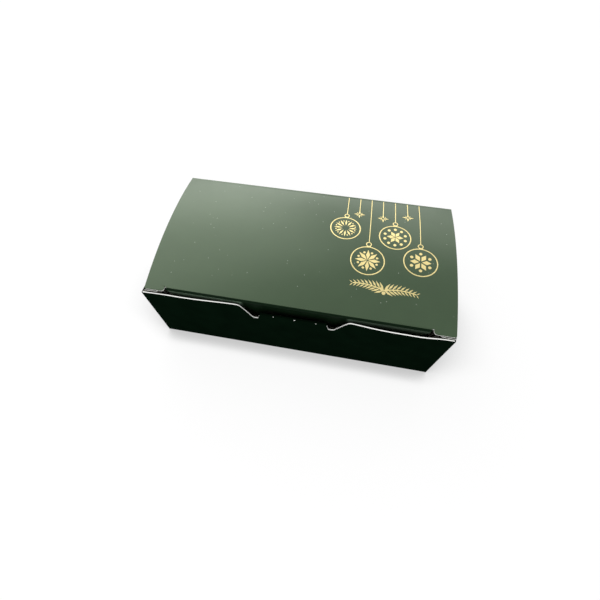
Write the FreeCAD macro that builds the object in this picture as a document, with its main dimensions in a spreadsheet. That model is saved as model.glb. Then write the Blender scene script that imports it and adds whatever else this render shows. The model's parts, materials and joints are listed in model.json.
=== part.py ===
import FreeCAD, Part
import os
import re

import Sketcher
from FreeCAD import Placement, Rotation, Vector

# A folding carton for chocolates: one sheet of paperboard, cut, creased, glued into a sleeve and closed
# below by an interlocking bottom. Each panel between two creases is a piece of its own.
# Millimetres, X along the front, Y from front to back, Z up, origin on the table under the middle.

# Driving sizes: name, value and meaning. Names that end in share are shares, all others are lengths.
SIZES = [
    ("box_width", 140.0, "outside length of the box along the front"),
    ("box_depth", 74.6, "outside depth, front to back"),
    ("wall_height", 40.6, "raw top edge of the front wall above the table"),
    ("board", 0.6, "thickness of the paperboard"),
    ("fold_share", 0.85, "outside radius of a fixed fold, as a share of the board"),
    ("bead_rise", 0.08, "how far the ridge of a working crease stands proud of the board"),
    ("fold_gap", 0.1, "play between a working crease and the raw edge beside it"),
    ("glue_film", 0.1, "thickness of a line of glue"),
    ("flap_gap", 0.3, "play between the edges of neighbouring flaps"),
    ("cut_overrun", 2.0, "how far a cut runs past the board"),
    ("notch_top", 50.0, "width of the front notch at the raw edge"),
    ("notch_base", 37.8, "width of the front notch at its hooks"),
    ("notch_round", 2.5, "radius of the notch's shoulders"),
    ("hook_width", 2.4, "width of the relief hook at each end of the lock tab"),
    ("hook_drop", 4.2, "how far the hooks run below the lock tab's fold"),
    ("hook_round", 1.0, "radius in the hooks"),
    ("tab_width", 31.0, "length of the lock tab's fold"),
    ("tab_drop", 4.7, "lock tab's fold below the raw edge"),
    ("tab_reach", 11.0, "how far the hemmed lock tab hangs down inside"),
    ("tab_round", 3.0, "radius of the lock tab's lower corners"),
    ("hem_gap", 0.2, "gap between the hemmed tab and the wall"),
    ("lid_lift", 1.5, "top of the lid's front fold above the front wall's raw edge"),
    ("hinge_drop", 0.64, "lid hinge below the lid's front fold"),
    ("lid_crown", 3.8, "how far the lid bows up between its folds"),
    ("lid_setback", 2.2, "lid's front fold behind the front wall's face"),
    ("lid_inset", 0.15, "lid's ends inside the end walls' faces"),
    ("lid_play", 0.12, "play between the lid and the dust flaps' folds"),
    ("lid_round", 0.8, "radius of the lid's front corners"),
    ("ear_width", 9.45, "raw corner of the lid beside each locking slit"),
    ("ear_reach", 1.3, "raw corner of the lid in front of its fold"),
    ("ear_round", 1.5, "radius between the raw corner's front and the slit"),
    ("slit_width", 0.6, "width of the locking slit"),
    ("slit_hook", 0.35, "how far the slit runs on behind the fold"),
    ("slit_round", 0.2, "radius at the slit's end"),
    ("tuck_depth", 17.0, "depth of the lid's tuck flap"),
    ("tuck_lean", 3.0, "how far the tuck flap's lower edge leans in"),
    ("tuck_taper", 2.5, "how far each side of the tuck flap draws in"),
    ("tuck_round", 8.0, "radius of the tuck flap's lower corners"),
    ("dust_gap", 0.5, "play between a dust flap and the front wall"),
    ("dust_reach", 32.0, "length of a dust flap"),
    ("dust_shoulder", 6.2, "width of a dust flap's front shoulder"),
    ("dust_step", 5.5, "how far a dust flap steps back behind its shoulder"),
    ("dust_edge", 24.9, "free edge of a dust flap in front of the lid hinge"),
    ("dust_heel", 2.5, "root of a dust flap in front of the lid hinge"),
    ("dust_round", 6.0, "radius of a dust flap's free corners"),
    ("shoulder_round", 1.5, "radius of a dust flap's shoulder"),
    ("seam_width", 12.0, "width of the glued side seam"),
    ("seam_taper", 3.0, "how far each end of the seam flap draws in"),
    ("seam_clear", 2.0, "seam flap short of the wall's top and bottom"),
    ("seam_glue_inset", 2.0, "glue inside the seam flap's edges"),
    ("minor_reach", 33.0, "length of the bottom's end flaps"),
    ("minor_taper", 7.5, "how far each side of a bottom end flap draws in"),
    ("minor_clear", 1.2, "bottom end flap short of the front and back walls"),
    ("lock_lap", 6.0, "how far the bottom's long flaps reach past the middle"),
    ("lock_step", 9.0, "length of the step where the long flaps interlock"),
    ("major_taper", 4.0, "how far the free side of a long bottom flap draws in"),
    ("ear_chamfer", 14.0, "cut-off corner of the bottom's glue ears"),
]

doc = FreeCAD.newDocument("chocolate_box")
sheet = doc.addObject("Spreadsheet::Sheet", "Sizes")
for row, (alias, value, meaning) in enumerate(SIZES, start=1):
    sheet.set(f"A{row}", meaning)
    sheet.set(f"B{row}", str(value))
    sheet.setAlias(f"B{row}", alias)
doc.recompute()

# Corners of a bottom ear's spot of glue, as shares of the ear's leg from the box's inner corner.
GLUE_SHARES = [(0.1, 0.3), (0.6, 0.8), (0.6, 0.9), (0.35, 0.9), (0.1, 0.62)]

# Expressions below are written with the bare names of the sheet's cells.
CELL_NAME = re.compile(r"\b(" + "|".join(alias for alias, _, _ in SIZES) + r")\b")

HALF_WIDTH = "(box_width / 2)"
HALF_DEPTH = "(box_depth / 2)"
INNER_X = "(box_width / 2 - board)"
INNER_Y = "(box_depth / 2 - board)"
BEAD = "(board / 2 + bead_rise)"
CREASE_REACH = f"({BEAD} + fold_gap)"

# Lines of the working creases: the lid's front fold, its hinge, and the dust flaps' and lock tab's folds.
FOLD_Y = f"(lid_setback + {BEAD} - box_depth / 2)"
FOLD_Z = f"(wall_height + lid_lift - {BEAD})"
HINGE_Y = f"(box_depth / 2 - {BEAD})"
HINGE_Z = f"({FOLD_Z} - hinge_drop)"
LID_CHORD = f"sqrt(({HINGE_Y} - {FOLD_Y})^2 + hinge_drop^2)"
LID_RADIUS = f"(({LID_CHORD}^2 / 4 + lid_crown^2) / (2 * lid_crown))"
LID_CENTRE_DROP = f"({LID_RADIUS} - lid_crown)"
EAR_DROP = f"(ear_reach * {LID_CHORD} / 2 / {LID_CENTRE_DROP})"
EAR_UNDERSIDE = f"({FOLD_Z} - {EAR_DROP} - board / 2)"
DUST_X = f"(box_width / 2 - {BEAD})"
DUST_Z = f"(min({HINGE_Z}; {EAR_UNDERSIDE}) - lid_play - {BEAD})"
TAB_Y = f"({BEAD} - box_depth / 2)"
TAB_Z = f"(wall_height - tab_drop - {BEAD})"

LID_HALF = "(box_width / 2 - lid_inset)"
SLIT_X = f"({LID_HALF} - ear_width)"
TUCK_HALF = f"({SLIT_X} - slit_width - flap_gap)"
END_WALL_TOP = f"({DUST_Z} - {CREASE_REACH})"
BACK_WALL_TOP = f"({HINGE_Z} - {CREASE_REACH})"
MINOR_FLOOR = "(board + glue_film)"

ACROSS_X = Vector(1, 0, 0)
ACROSS_Y = Vector(0, 1, 0)
ACROSS_Z = Vector(0, 0, 1)
QUARTER_TURN = 90
HALF_TURN = 180
AS_DRAWN = Rotation()
UPRIGHT = Rotation(ACROSS_X, QUARTER_TURN)
# Lays a drawing's x, y and thickness along Y, Z and X.
ENDWISE = Rotation(ACROSS_Y, ACROSS_Z, ACROSS_X)
SAME_PLACE = 1e-4

panels = []


def bind(target, name, text):
    target.setExpression(name, CELL_NAME.sub(r"Sizes.\1", text))


def panel(label):
    body = doc.addObject("PartDesign::Body", label)
    body.Label = label
    panels.append(body)
    return body


def place(body, x="0", y="0", z="0", turned=AS_DRAWN, tilt=None):
    """Sets a panel down; a tilt is an angle about X that follows the sizes."""
    body.Placement = Placement(Vector(), UPRIGHT if tilt else turned)
    for name, text in (("x", x), ("y", y), ("z", z)):
        bind(body, f"Placement.Base.{name}", text)
    if tilt:
        bind(body, "Placement.Rotation.Angle", tilt)


def sketch_on(body, role, name):
    plane = next(item for item in body.Origin.OriginFeatures if item.Role == role)
    sketch = body.newObject("Sketcher::SketchObject", name)
    sketch.AttachmentSupport = (plane, "")
    sketch.MapMode = "FlatFace"
    return sketch


def fix(sketch, kind, *where, by):
    number = sketch.addConstraint(Sketcher.Constraint(kind, *where, 1.0))
    bind(sketch, f"Constraints[{number}]", by)


def polygon(body, name, corners, role="XY_Plane"):
    """A closed outline; each corner is a pair of expressions, measured from the sketch's origin."""
    sketch = sketch_on(body, role, name)
    count = len(corners)
    start = [Rotation(ACROSS_Z, 360 * i / count).multVec(ACROSS_X) for i in range(count)]
    for i in range(count):
        sketch.addGeometry(Part.LineSegment(start[i], start[(i + 1) % count]))
    for i in range(count):
        sketch.addConstraint(Sketcher.Constraint("Coincident", i, 2, (i + 1) % count, 1))
    for i, (across, along) in enumerate(corners):
        fix(sketch, "DistanceX", -1, 1, i, 1, by=across)
        fix(sketch, "DistanceY", -1, 1, i, 1, by=along)
    doc.recompute()
    return sketch


def mirrored(corners):
    """The corners of the right half, from bottom to top, followed by their mirror images."""
    return corners + [(f"-({across})", along) for across, along in reversed(corners)]


def pad(body, name, sketch, length="board", side="One side", other_length=None, inward=False):
    feature = body.newObject("PartDesign::Pad", name)
    feature.Profile = sketch
    feature.SideType = side
    feature.Reversed = inward
    bind(feature, "Length", length)
    if other_length:
        bind(feature, "Length2", other_length)
    doc.recompute()
    return feature


def bead(body, role, length, side="Symmetric", other_length=None, across="0", along="0"):
    """The rounded ridge of a working crease, along the normal of the given plane."""
    sketch = sketch_on(body, role, body.Label + "_bead_section")
    sketch.addGeometry(Part.Circle(Vector(), ACROSS_Z, 1.0))
    fix(sketch, "DistanceX", -1, 1, 0, 3, by=across)
    fix(sketch, "DistanceY", -1, 1, 0, 3, by=along)
    fix(sketch, "Radius", 0, by=BEAD)
    return pad(body, body.Label + "_bead", sketch, length, side, other_length)


def ends_in(sketch, edge):
    to_sketch = sketch.Placement.inverse()
    return [to_sketch.multVec(vertex.Point) for vertex in edge.Vertexes]


def standing_on(sketch, corners):
    """Selects the edges that stand on the given corners of an outline."""
    places = [sketch.Geometry[i].StartPoint for i in corners]

    def chosen(edge):
        flat = [Vector(end.x, end.y, 0) for end in ends_in(sketch, edge)]
        return any(all(end.isEqual(spot, SAME_PLACE) for end in flat) for spot in places)

    return chosen


def lying_on(sketch, sides):
    """Selects the edges that lie along the given sides of an outline, in its own plane."""
    lines = [sketch.Geometry[i] for i in sides]

    def chosen(edge):
        ends = ends_in(sketch, edge)
        return any(
            all(min(end.distanceToPoint(spot) for end in ends) < SAME_PLACE
                for spot in (line.StartPoint, line.EndPoint))
            for line in lines)

    return chosen


def low_ends(body, axis, half_width=None):
    """Selects the edges through the board that lie lowest along the given axis, at both ends along X.

    A half width takes the edges that far either side of the middle instead.
    """
    box = body.Tip.Shape.BoundBox
    board = sheet.get("board")
    side = half_width or box.XMax
    limit = getattr(box, axis.upper() + "Min") + board

    def chosen(edge):
        ends = [vertex.Point for vertex in edge.Vertexes]
        at_side = all(abs(side - abs(end.x)) < SAME_PLACE for end in ends)
        return at_side and edge.Length < board * 2 and all(getattr(end, axis) < limit for end in ends)

    return chosen


def rounded(body, name, chosen, radius):
    base = body.Tip
    names = [f"Edge{n}" for n, edge in enumerate(base.Shape.Edges, start=1) if chosen(edge)]
    fillet = body.newObject("PartDesign::Fillet", name)
    fillet.Base = (base, names)
    bind(fillet, "Radius", radius)
    doc.recompute()
    return fillet


def front_wall():
    """Raw top edge, with the notch and the relief hooks that free the lock tab."""
    body = panel("front_wall")
    hook_floor = "wall_height - tab_drop - hook_drop"
    tab_seat = f"{TAB_Z} - {CREASE_REACH}"
    right = [
        (INNER_X, "0"),
        (INNER_X, "wall_height"),
        ("notch_top / 2", "wall_height"),
        ("notch_base / 2", hook_floor),
        ("notch_base / 2 - hook_width", hook_floor),
        ("tab_width / 2 + fold_gap", tab_seat),
    ]
    outline = polygon(body, "front_wall_outline", mirrored(right))
    pad(body, "front_wall_board", outline, inward=True)
    rounded(body, "front_wall_shoulders", standing_on(outline, (2, 9)), "notch_round")
    rounded(body, "front_wall_hooks", standing_on(outline, (3, 4, 7, 8)), "hook_round")
    rounded(body, "front_wall_fold", lying_on(outline, (11,)), "fold_share * board")
    place(body, y=f"-{HALF_DEPTH}", turned=UPRIGHT)


def back_wall():
    body = panel("back_wall")
    right = [(INNER_X, "0"), (INNER_X, BACK_WALL_TOP)]
    outline = polygon(body, "back_wall_outline", mirrored(right))
    pad(body, "back_wall_board", outline)
    rounded(body, "back_wall_fold", lying_on(outline, (3,)), "fold_share * board")
    place(body, y=HALF_DEPTH, turned=UPRIGHT)


def end_wall(label, x, inward):
    """Wraps round both upright corners of the sleeve; the dust flap folds in from its top."""
    body = panel(label)
    back_half = [(HALF_DEPTH, "0"), (HALF_DEPTH, END_WALL_TOP)]
    outline = polygon(body, label + "_outline", mirrored(back_half))
    pad(body, label + "_board", outline, inward=inward)
    rounded(body, label + "_folds", lying_on(outline, (0, 2, 3)), "fold_share * board")
    place(body, x=x, turned=ENDWISE)


def side_seam():
    """The flap that closes the sleeve, glued inside the back wall, and its line of glue."""
    foot = f"{MINOR_FLOOR} + board + seam_clear"
    head = f"{END_WALL_TOP} - seam_clear"
    root = f"-{INNER_X}"
    tip = f"seam_width - {INNER_X}"

    flap = panel("seam_flap")
    corners = [
        (root, foot),
        (tip, f"{foot} + seam_taper"),
        (tip, f"{head} - seam_taper"),
        (root, head),
    ]
    pad(flap, "seam_flap_board", polygon(flap, "seam_flap_outline", corners))
    place(flap, y=f"{INNER_Y} - glue_film", turned=UPRIGHT)

    glue = panel("seam_adhesive")
    low = f"{foot} + seam_taper + seam_glue_inset"
    high = f"{head} - seam_taper - seam_glue_inset"
    near = f"{root} + seam_glue_inset"
    far = f"{tip} - seam_glue_inset"
    film = polygon(glue, "seam_adhesive_outline", [(near, low), (far, low), (far, high), (near, high)])
    pad(glue, "seam_adhesive_film", film, "glue_film")
    place(glue, y=INNER_Y, turned=UPRIGHT)


def bottom_half(side, turned):
    """One long bottom flap, its glue ear past the diagonal crease, and the ear's spot of glue.

    The half at the other side is the same, turned half round, and the two interlock at a step.
    """
    mid_gap = "flap_gap / 2"
    left_lap = f"(lock_lap - {mid_gap})"
    right_lap = f"(-lock_lap - {mid_gap})"
    free_side = f"{INNER_X} - flap_gap"

    flap = panel(f"bottom_{side}_flap")
    corners = [
        (f"-{INNER_X} + flap_gap", f"-{INNER_Y}"),
        (free_side, f"-{INNER_Y}"),
        (f"{free_side} - major_taper", right_lap),
        ("lock_step / 2 - flap_gap", right_lap),
        ("-lock_step / 2 - flap_gap", left_lap),
        (f"{left_lap} + {INNER_Y} - {INNER_X} + flap_gap", left_lap),
    ]
    pad(flap, flap.Label + "_board", polygon(flap, flap.Label + "_outline", corners))
    place(flap, turned=turned)

    ear = panel(f"bottom_{side}_glue_ear")
    outer = f"(-{INNER_X} + flap_gap)"
    corners = [
        (outer, f"-{INNER_Y} + 2 * flap_gap"),
        (f"{left_lap} + {INNER_Y} - {INNER_X}", f"{left_lap} + flap_gap"),
        (f"{outer} + ear_chamfer", f"{left_lap} + flap_gap"),
        (outer, f"{left_lap} + flap_gap - ear_chamfer"),
    ]
    pad(ear, ear.Label + "_board", polygon(ear, ear.Label + "_outline", corners))
    place(ear, turned=turned)

    glue = panel(f"bottom_{side}_adhesive")
    leg = f"({left_lap} + {INNER_Y})"
    corners = [(f"{x} * {leg} - {INNER_X}", f"{y} * {leg} - {INNER_Y}") for x, y in GLUE_SHARES]
    pad(glue, glue.Label + "_film", polygon(glue, glue.Label + "_outline", corners), "glue_film")
    place(glue, z="board", turned=turned)


def bottom_end_flap(side, turned):
    """Lies inside, on the long flaps, and is glued to one of them."""
    body = panel(f"bottom_{side}_flap")
    root = f"-{INNER_X}"
    tip = f"minor_reach - {INNER_X}"
    spread = f"({INNER_Y} - minor_clear)"
    corners = [
        (root, f"-{spread}"),
        (tip, f"minor_taper - {spread}"),
        (tip, f"{spread} - minor_taper"),
        (root, spread),
    ]
    pad(body, body.Label + "_board", polygon(body, body.Label + "_outline", corners))
    place(body, z=MINOR_FLOOR, turned=turned)


def lid_panel():
    """Bowed lid, swept about the middle of its bow, which is this body's origin.

    Locking slits part its raw front corners from the fold between them.
    """
    body = panel("lid_panel")
    corners = [
        (f"-{LID_HALF}", f"{LID_RADIUS} - board / 2"),
        (LID_HALF, f"{LID_RADIUS} - board / 2"),
        (LID_HALF, f"{LID_RADIUS} + board / 2"),
        (f"-{LID_HALF}", f"{LID_RADIUS} + board / 2"),
    ]
    section = polygon(body, "lid_section", corners, role="XZ_Plane")
    sweep = body.newObject("PartDesign::Revolution", "lid_board")
    sweep.Profile = section
    sweep.ReferenceAxis = (section, ["H_Axis"])
    sweep.Type = "TwoAngles"
    bind(sweep, "Angle", f"asin(({LID_CHORD} / 2 + ear_reach) / {LID_RADIUS})")
    bind(sweep, "Angle2", f"asin({LID_CHORD} / 2 / {LID_RADIUS})")
    doc.recompute()

    front = f"-{LID_CHORD} / 2"
    fold_side = f"{front} + {CREASE_REACH}"
    slit_near = f"{SLIT_X} - slit_width"
    right = [
        (SLIT_X, f"{front} - ear_reach - cut_overrun"),
        (SLIT_X, f"{fold_side} + slit_hook"),
        (slit_near, f"{fold_side} + slit_hook"),
        (slit_near, fold_side),
    ]
    outline = polygon(body, "lid_slits", mirrored(right))
    slits = body.newObject("PartDesign::Pocket", "lid_front_cut")
    slits.Profile = outline
    slits.SideType = "Symmetric"
    bind(slits, "Length", f"2 * ({LID_RADIUS} + cut_overrun)")
    doc.recompute()
    rounded(body, "lid_slit_ends", standing_on(outline, (1, 2, 5, 6)), "slit_round")
    rounded(body, "lid_ears", low_ends(body, "y", outline.Geometry[0].StartPoint.x), "ear_round")
    rounded(body, "lid_corners", low_ends(body, "y"), "lid_round")
    bead(body, "YZ_Plane", f"2 * {LID_HALF}", across=f"{LID_CHORD} / 2", along=LID_CENTRE_DROP)
    run = f"({HINGE_Y} - {FOLD_Y})"
    middle_y = f"{HINGE_Y} - {run} / 2 - {LID_CENTRE_DROP} * hinge_drop / {LID_CHORD}"
    middle_z = f"{HINGE_Z} + hinge_drop / 2 - {LID_CENTRE_DROP} * {run} / {LID_CHORD}"
    place(body, y=middle_y, z=middle_z, tilt=f"-atan(hinge_drop / {run})")


def tuck_flap():
    """Folds down from the lid and slides in behind the front wall, leaning in."""
    body = panel("lid_tuck_flap")
    right = [(TUCK_HALF, "0"), (f"{TUCK_HALF} - tuck_taper", "tuck_depth")]
    outline = polygon(body, "tuck_flap_outline", mirrored(right))
    pad(body, "tuck_flap_board", outline, side="Symmetric")
    rounded(body, "tuck_flap_corners", standing_on(outline, (1, 2)), "tuck_round")
    bead(body, "YZ_Plane", f"2 * {TUCK_HALF}")
    fold_down = f"atan(tuck_lean / tuck_depth) - {QUARTER_TURN} deg"
    place(body, y=FOLD_Y, z=FOLD_Z, tilt=fold_down)


def dust_flap(side, x, turned):
    """Folds in from an end wall, under the lid; its shoulder closes the corner beside the slit."""
    body = panel(f"{side}_dust_flap")
    front = f"(dust_gap - {INNER_Y})"
    heel = f"({HINGE_Y} - dust_heel)"
    corners = [
        ("0", front),
        ("dust_shoulder", front),
        ("dust_shoulder", f"{front} + dust_step"),
        ("dust_reach", f"{front} + dust_step"),
        ("dust_reach", f"{HINGE_Y} - dust_edge"),
        ("0", heel),
    ]
    outline = polygon(body, body.Label + "_outline", corners)
    pad(body, body.Label + "_board", outline, side="Symmetric")
    rounded(body, body.Label + "_shoulder", standing_on(outline, (1, 2)), "shoulder_round")
    rounded(body, body.Label + "_corners", standing_on(outline, (3, 4)), "dust_round")
    bead(body, "XZ_Plane", f"-{front}", side="Two sides", other_length=heel)
    place(body, x=x, z=DUST_Z, turned=turned)


def lock_tab():
    """Hemmed back inside the front wall: a crease on the wall's edge, and a tongue hanging from it."""
    body = panel("front_lock_tab")
    outer_face = f"(board - {BEAD} + hem_gap)"
    inner_face = f"({outer_face} + board)"
    section = [
        ("0", BEAD),
        (inner_face, BEAD),
        (inner_face, f"{BEAD} - tab_reach"),
        (outer_face, f"{BEAD} - tab_reach"),
        (outer_face, f"{BEAD} - board"),
        ("0", f"{BEAD} - board"),
    ]
    outline = polygon(body, "lock_tab_section", section, role="YZ_Plane")
    pad(body, "lock_tab_board", outline, "tab_width", side="Symmetric")
    rounded(body, "lock_tab_hem", standing_on(outline, (1,)), "fold_share * board")
    rounded(body, "lock_tab_corners", low_ends(body, "z"), "tab_round")
    bead(body, "YZ_Plane", "tab_width")
    place(body, y=TAB_Y, z=TAB_Z)


front_wall()
back_wall()
end_wall("left_end_wall", f"-{HALF_WIDTH}", inward=False)
end_wall("right_end_wall", HALF_WIDTH, inward=True)
side_seam()
bottom_half("front", AS_DRAWN)
bottom_half("back", Rotation(ACROSS_Z, HALF_TURN))
bottom_end_flap("left", AS_DRAWN)
bottom_end_flap("right", Rotation(ACROSS_Z, HALF_TURN))
lid_panel()
tuck_flap()
dust_flap("left", f"-{DUST_X}", AS_DRAWN)
dust_flap("right", DUST_X, Rotation(ACROSS_Y, HALF_TURN))
lock_tab()
doc.recompute()

for item in doc.Objects:
    if "Invalid" in item.State or "Error" in item.State:
        raise RuntimeError(f"{item.Label} failed: {item.State}")
for body in panels:
    if body.Shape.isNull() or not body.Shape.isValid() or len(body.Shape.Solids) != 1:
        raise RuntimeError(f"{body.Label} is not one valid solid")

os.makedirs("parts", exist_ok=True)
for body in panels:
    body.Shape.exportStep(os.path.join("parts", body.Label + ".step"))
    box = body.Shape.BoundBox
    print(f"{body.Label}: {box.XLength:.2f} x {box.YLength:.2f} x {box.ZLength:.2f} mm")
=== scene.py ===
# %% [markdown]
# # A folding box for chocolates
# The real box is one sheet of paperboard: printed dark green on the outside, bare white on the inside,
# cut, creased and glued into a sleeve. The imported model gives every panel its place, its size and its
# hinge. This lesson gives the panels their finishes, bends the folds between them and stamps gold foil on
# the lid.

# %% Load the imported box
import json
import math

import bmesh
import bpy
import numpy as np
from mathutils import Matrix, Vector


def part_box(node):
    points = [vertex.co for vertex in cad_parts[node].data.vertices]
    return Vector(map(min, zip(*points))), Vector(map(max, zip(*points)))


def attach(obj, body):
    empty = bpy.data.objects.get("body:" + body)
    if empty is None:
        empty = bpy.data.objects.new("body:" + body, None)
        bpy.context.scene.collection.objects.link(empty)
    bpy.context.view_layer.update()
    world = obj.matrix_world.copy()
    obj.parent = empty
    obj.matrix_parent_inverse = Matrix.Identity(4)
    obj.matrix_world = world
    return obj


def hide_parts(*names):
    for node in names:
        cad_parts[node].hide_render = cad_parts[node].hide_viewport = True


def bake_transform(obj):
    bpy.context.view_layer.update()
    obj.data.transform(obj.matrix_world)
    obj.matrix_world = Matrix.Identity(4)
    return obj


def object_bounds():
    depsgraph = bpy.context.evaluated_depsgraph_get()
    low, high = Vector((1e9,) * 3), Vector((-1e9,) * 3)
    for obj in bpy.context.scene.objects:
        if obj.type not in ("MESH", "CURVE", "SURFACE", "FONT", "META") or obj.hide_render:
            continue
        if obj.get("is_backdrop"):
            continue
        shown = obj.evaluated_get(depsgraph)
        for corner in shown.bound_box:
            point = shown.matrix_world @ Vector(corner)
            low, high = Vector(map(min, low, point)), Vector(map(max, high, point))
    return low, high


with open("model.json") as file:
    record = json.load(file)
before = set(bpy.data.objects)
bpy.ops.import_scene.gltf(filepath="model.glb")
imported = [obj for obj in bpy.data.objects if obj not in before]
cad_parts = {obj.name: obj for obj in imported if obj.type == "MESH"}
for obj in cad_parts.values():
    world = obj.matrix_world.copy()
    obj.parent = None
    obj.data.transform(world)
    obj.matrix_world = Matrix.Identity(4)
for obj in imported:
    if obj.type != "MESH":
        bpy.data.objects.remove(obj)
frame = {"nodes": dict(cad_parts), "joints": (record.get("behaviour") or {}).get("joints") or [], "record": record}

MM = 0.001
CAD_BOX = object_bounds()
FOLDS = {joint["name"]: Vector(joint["pos_m"]) for joint in frame["joints"]}
BODIES = frame["record"]["behaviour"]["bodies"]
BODY_OF = {node: body for body, nodes in BODIES.items() for node in nodes}
RIGHT, BACK, UP = Vector((1, 0, 0)), Vector((0, 1, 0)), Vector((0, 0, 1))
LEFT, FRONT, DOWN = -RIGHT, -BACK, -UP
print("panels:", len(frame["nodes"]), "folds:", len(FOLDS))

# %% [markdown]
# ## The camera first
# Everything is judged from the photograph's viewpoint, so the camera comes first. Its height, turn and
# roll were worked out from the corners of the box. A wide lens close to the box gives the same strong
# taper.

# %% Camera
VIEW_AZIMUTH = math.radians(13.0)
VIEW_ELEVATION = math.radians(60.6)
VIEW_ROLL = math.radians(-2.5)
EYE = Vector((12.653, -109.633, 185.245)) * MM
FRAME_PIXELS = 600
FOCAL_PIXELS = 367
OPTICAL_CENTRE = (283, 299.8)
SENSOR = 36.0


def aim_camera():
    level = Vector((math.cos(VIEW_AZIMUTH), math.sin(VIEW_AZIMUTH), 0))
    behind = Vector((math.sin(VIEW_AZIMUTH), -math.cos(VIEW_AZIMUTH), 0)) * math.cos(VIEW_ELEVATION)
    behind.z = math.sin(VIEW_ELEVATION)
    upward = behind.cross(level)
    turned = Matrix((level, upward, behind)).transposed() @ Matrix.Rotation(VIEW_ROLL, 3, "Z")
    data = bpy.data.cameras.new("photo_camera")
    data.sensor_width = SENSOR
    data.lens = FOCAL_PIXELS / FRAME_PIXELS * SENSOR
    data.shift_x = 0.5 - OPTICAL_CENTRE[0] / FRAME_PIXELS
    data.shift_y = OPTICAL_CENTRE[1] / FRAME_PIXELS - 0.5
    data.clip_start = MM
    camera = bpy.data.objects.new("photo_camera", data)
    camera.matrix_world = Matrix.Translation(EYE) @ turned.to_4x4()
    bpy.context.scene.collection.objects.link(camera)
    bpy.context.scene.camera = camera
    return camera


camera = aim_camera()
print("lens:", round(camera.data.lens, 2), "mm")

# %% [markdown]
# ## Node trees in plain Python
# Materials and geometry trees are both graphs of nodes. Two small helpers keep them readable: a graph
# makes any node from its type, its settings and its sockets, and a wire is an output that can be added,
# multiplied or compared like a number.

# %% Wires and graphs
class Wire:
    """One output of a node. Arithmetic on wires adds Math nodes to their graph."""

    def __init__(self, graph, socket):
        self.graph = graph
        self.socket = socket

    def maths(self, operation, first, second=0.0):
        return self.graph.node("ShaderNodeMath", {"operation": operation}, {0: first, 1: second})

    def __add__(self, other):
        return self.maths("ADD", self, other)

    def __radd__(self, other):
        return self.maths("ADD", other, self)

    def __sub__(self, other):
        return self.maths("SUBTRACT", self, other)

    def __rsub__(self, other):
        return self.maths("SUBTRACT", other, self)

    def __mul__(self, other):
        return self.maths("MULTIPLY", self, other)

    def __rmul__(self, other):
        return self.maths("MULTIPLY", other, self)

    def __truediv__(self, other):
        return self.maths("DIVIDE", self, other)

    def __rtruediv__(self, other):
        return self.maths("DIVIDE", other, self)

    def __gt__(self, other):
        return self.maths("GREATER_THAN", self, other)

    def __lt__(self, other):
        return self.maths("LESS_THAN", self, other)

    def __abs__(self):
        return self.maths("ABSOLUTE", self)


class Graph:
    """A node tree. Settings are set before sockets, because some of them change the sockets."""

    def __init__(self, tree):
        self.tree = tree

    def node(self, kind, settings=None, sockets=None, out=0):
        made = self.tree.nodes.new(kind)
        for name, value in (settings or {}).items():
            setattr(made, name, value)
        for name, value in (sockets or {}).items():
            for single in value if isinstance(value, list) else [value]:
                self.feed(made.inputs[name], single)
        return Wire(self, made.outputs[out])

    def feed(self, socket, value):
        if isinstance(value, Wire):
            self.tree.links.new(value.socket, socket)
        else:
            socket.default_value = value

    def ramp(self, value, low, high):
        """0 below low and 1 above high, with a smooth step between; low may be the greater one."""
        sockets = {"Value": value, "From Min": low, "From Max": high}
        return self.node("ShaderNodeMapRange", {"interpolation_type": "SMOOTHSTEP"}, sockets)

    def mixed(self, share, first, second):
        """A colour between two colours, which are a Mix node's sockets 6 and 7 and its output 2."""
        settings = {"data_type": "RGBA"}
        return self.node("ShaderNodeMix", settings, {0: share, 6: first, 7: second}, out=2)


def finish_of(name, constants, varying=None):
    """A Principled material: constants go on its sockets, and varying builds wires for the others."""
    material = bpy.data.materials.new(name)
    material.use_nodes = True
    shader = material.node_tree.nodes["Principled BSDF"]
    graph = Graph(material.node_tree)
    for socket, value in constants.items():
        shader.inputs[socket].default_value = value
    for socket, wire in (varying(graph) if varying else {}).items():
        graph.feed(shader.inputs[socket], wire)
    print("finish:", name, "nodes:", len(material.node_tree.nodes))
    return material


def linear(red, green, blue):
    """A screen colour of 0 to 255 as the linear colour that a shader takes."""
    parts = [channel / 255 for channel in (red, green, blue)]
    return tuple(p / 12.92 if p <= 0.04045 else ((p + 0.055) / 1.055) ** 2.4 for p in parts) + (1.0,)


# %% [markdown]
# ## Printed side
# The outside is coated board printed green. The lid has a satin varnish that catches the light and the
# dust. The walls and the flaps are matt. The lid's green and the darker greens of the walls and the flaps
# are lit and shaded copies of one ink, which is painted light and shade, so the walls stay nearly black even
# over a pale floor. Four noise textures are enough for a print: two vary its green and its roughness a
# little, and two bend the reflections through bump, because the sheet is never quite flat and the board has
# a fine tooth.
# The tuck flap gets a paler band just behind the front wall's raw edge, a painted reflection of the wall's
# white inside, which a mask finds from the place of a point on the flap.

# %% Printed side
# The lid's green is the lit copy of one ink, and the walls' and flaps' greens are shaded copies: painted light and
# shade.
LIT_LID_GREENS = linear(37, 58, 35), linear(44, 66, 41)
SHADED_WALL_GREENS = linear(3, 10, 5), linear(7, 20, 11)
SHADED_FLAP_GREENS = linear(10, 24, 12), linear(14, 30, 16)
LID_ROUGHNESS, WALL_ROUGHNESS, FLAP_ROUGHNESS = 0.3, 0.45, 0.4
GREEN_PATCH = 9 * MM
DULL_PATCH = 5 * MM
DULL_SPAN = 0.08
WAVE_LENGTH = 38 * MM
WAVE_DEPTH = 0.06 * MM
TOOTH_LENGTH = 0.35 * MM
TOOTH_DEPTH = 0.0008 * MM
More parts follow.
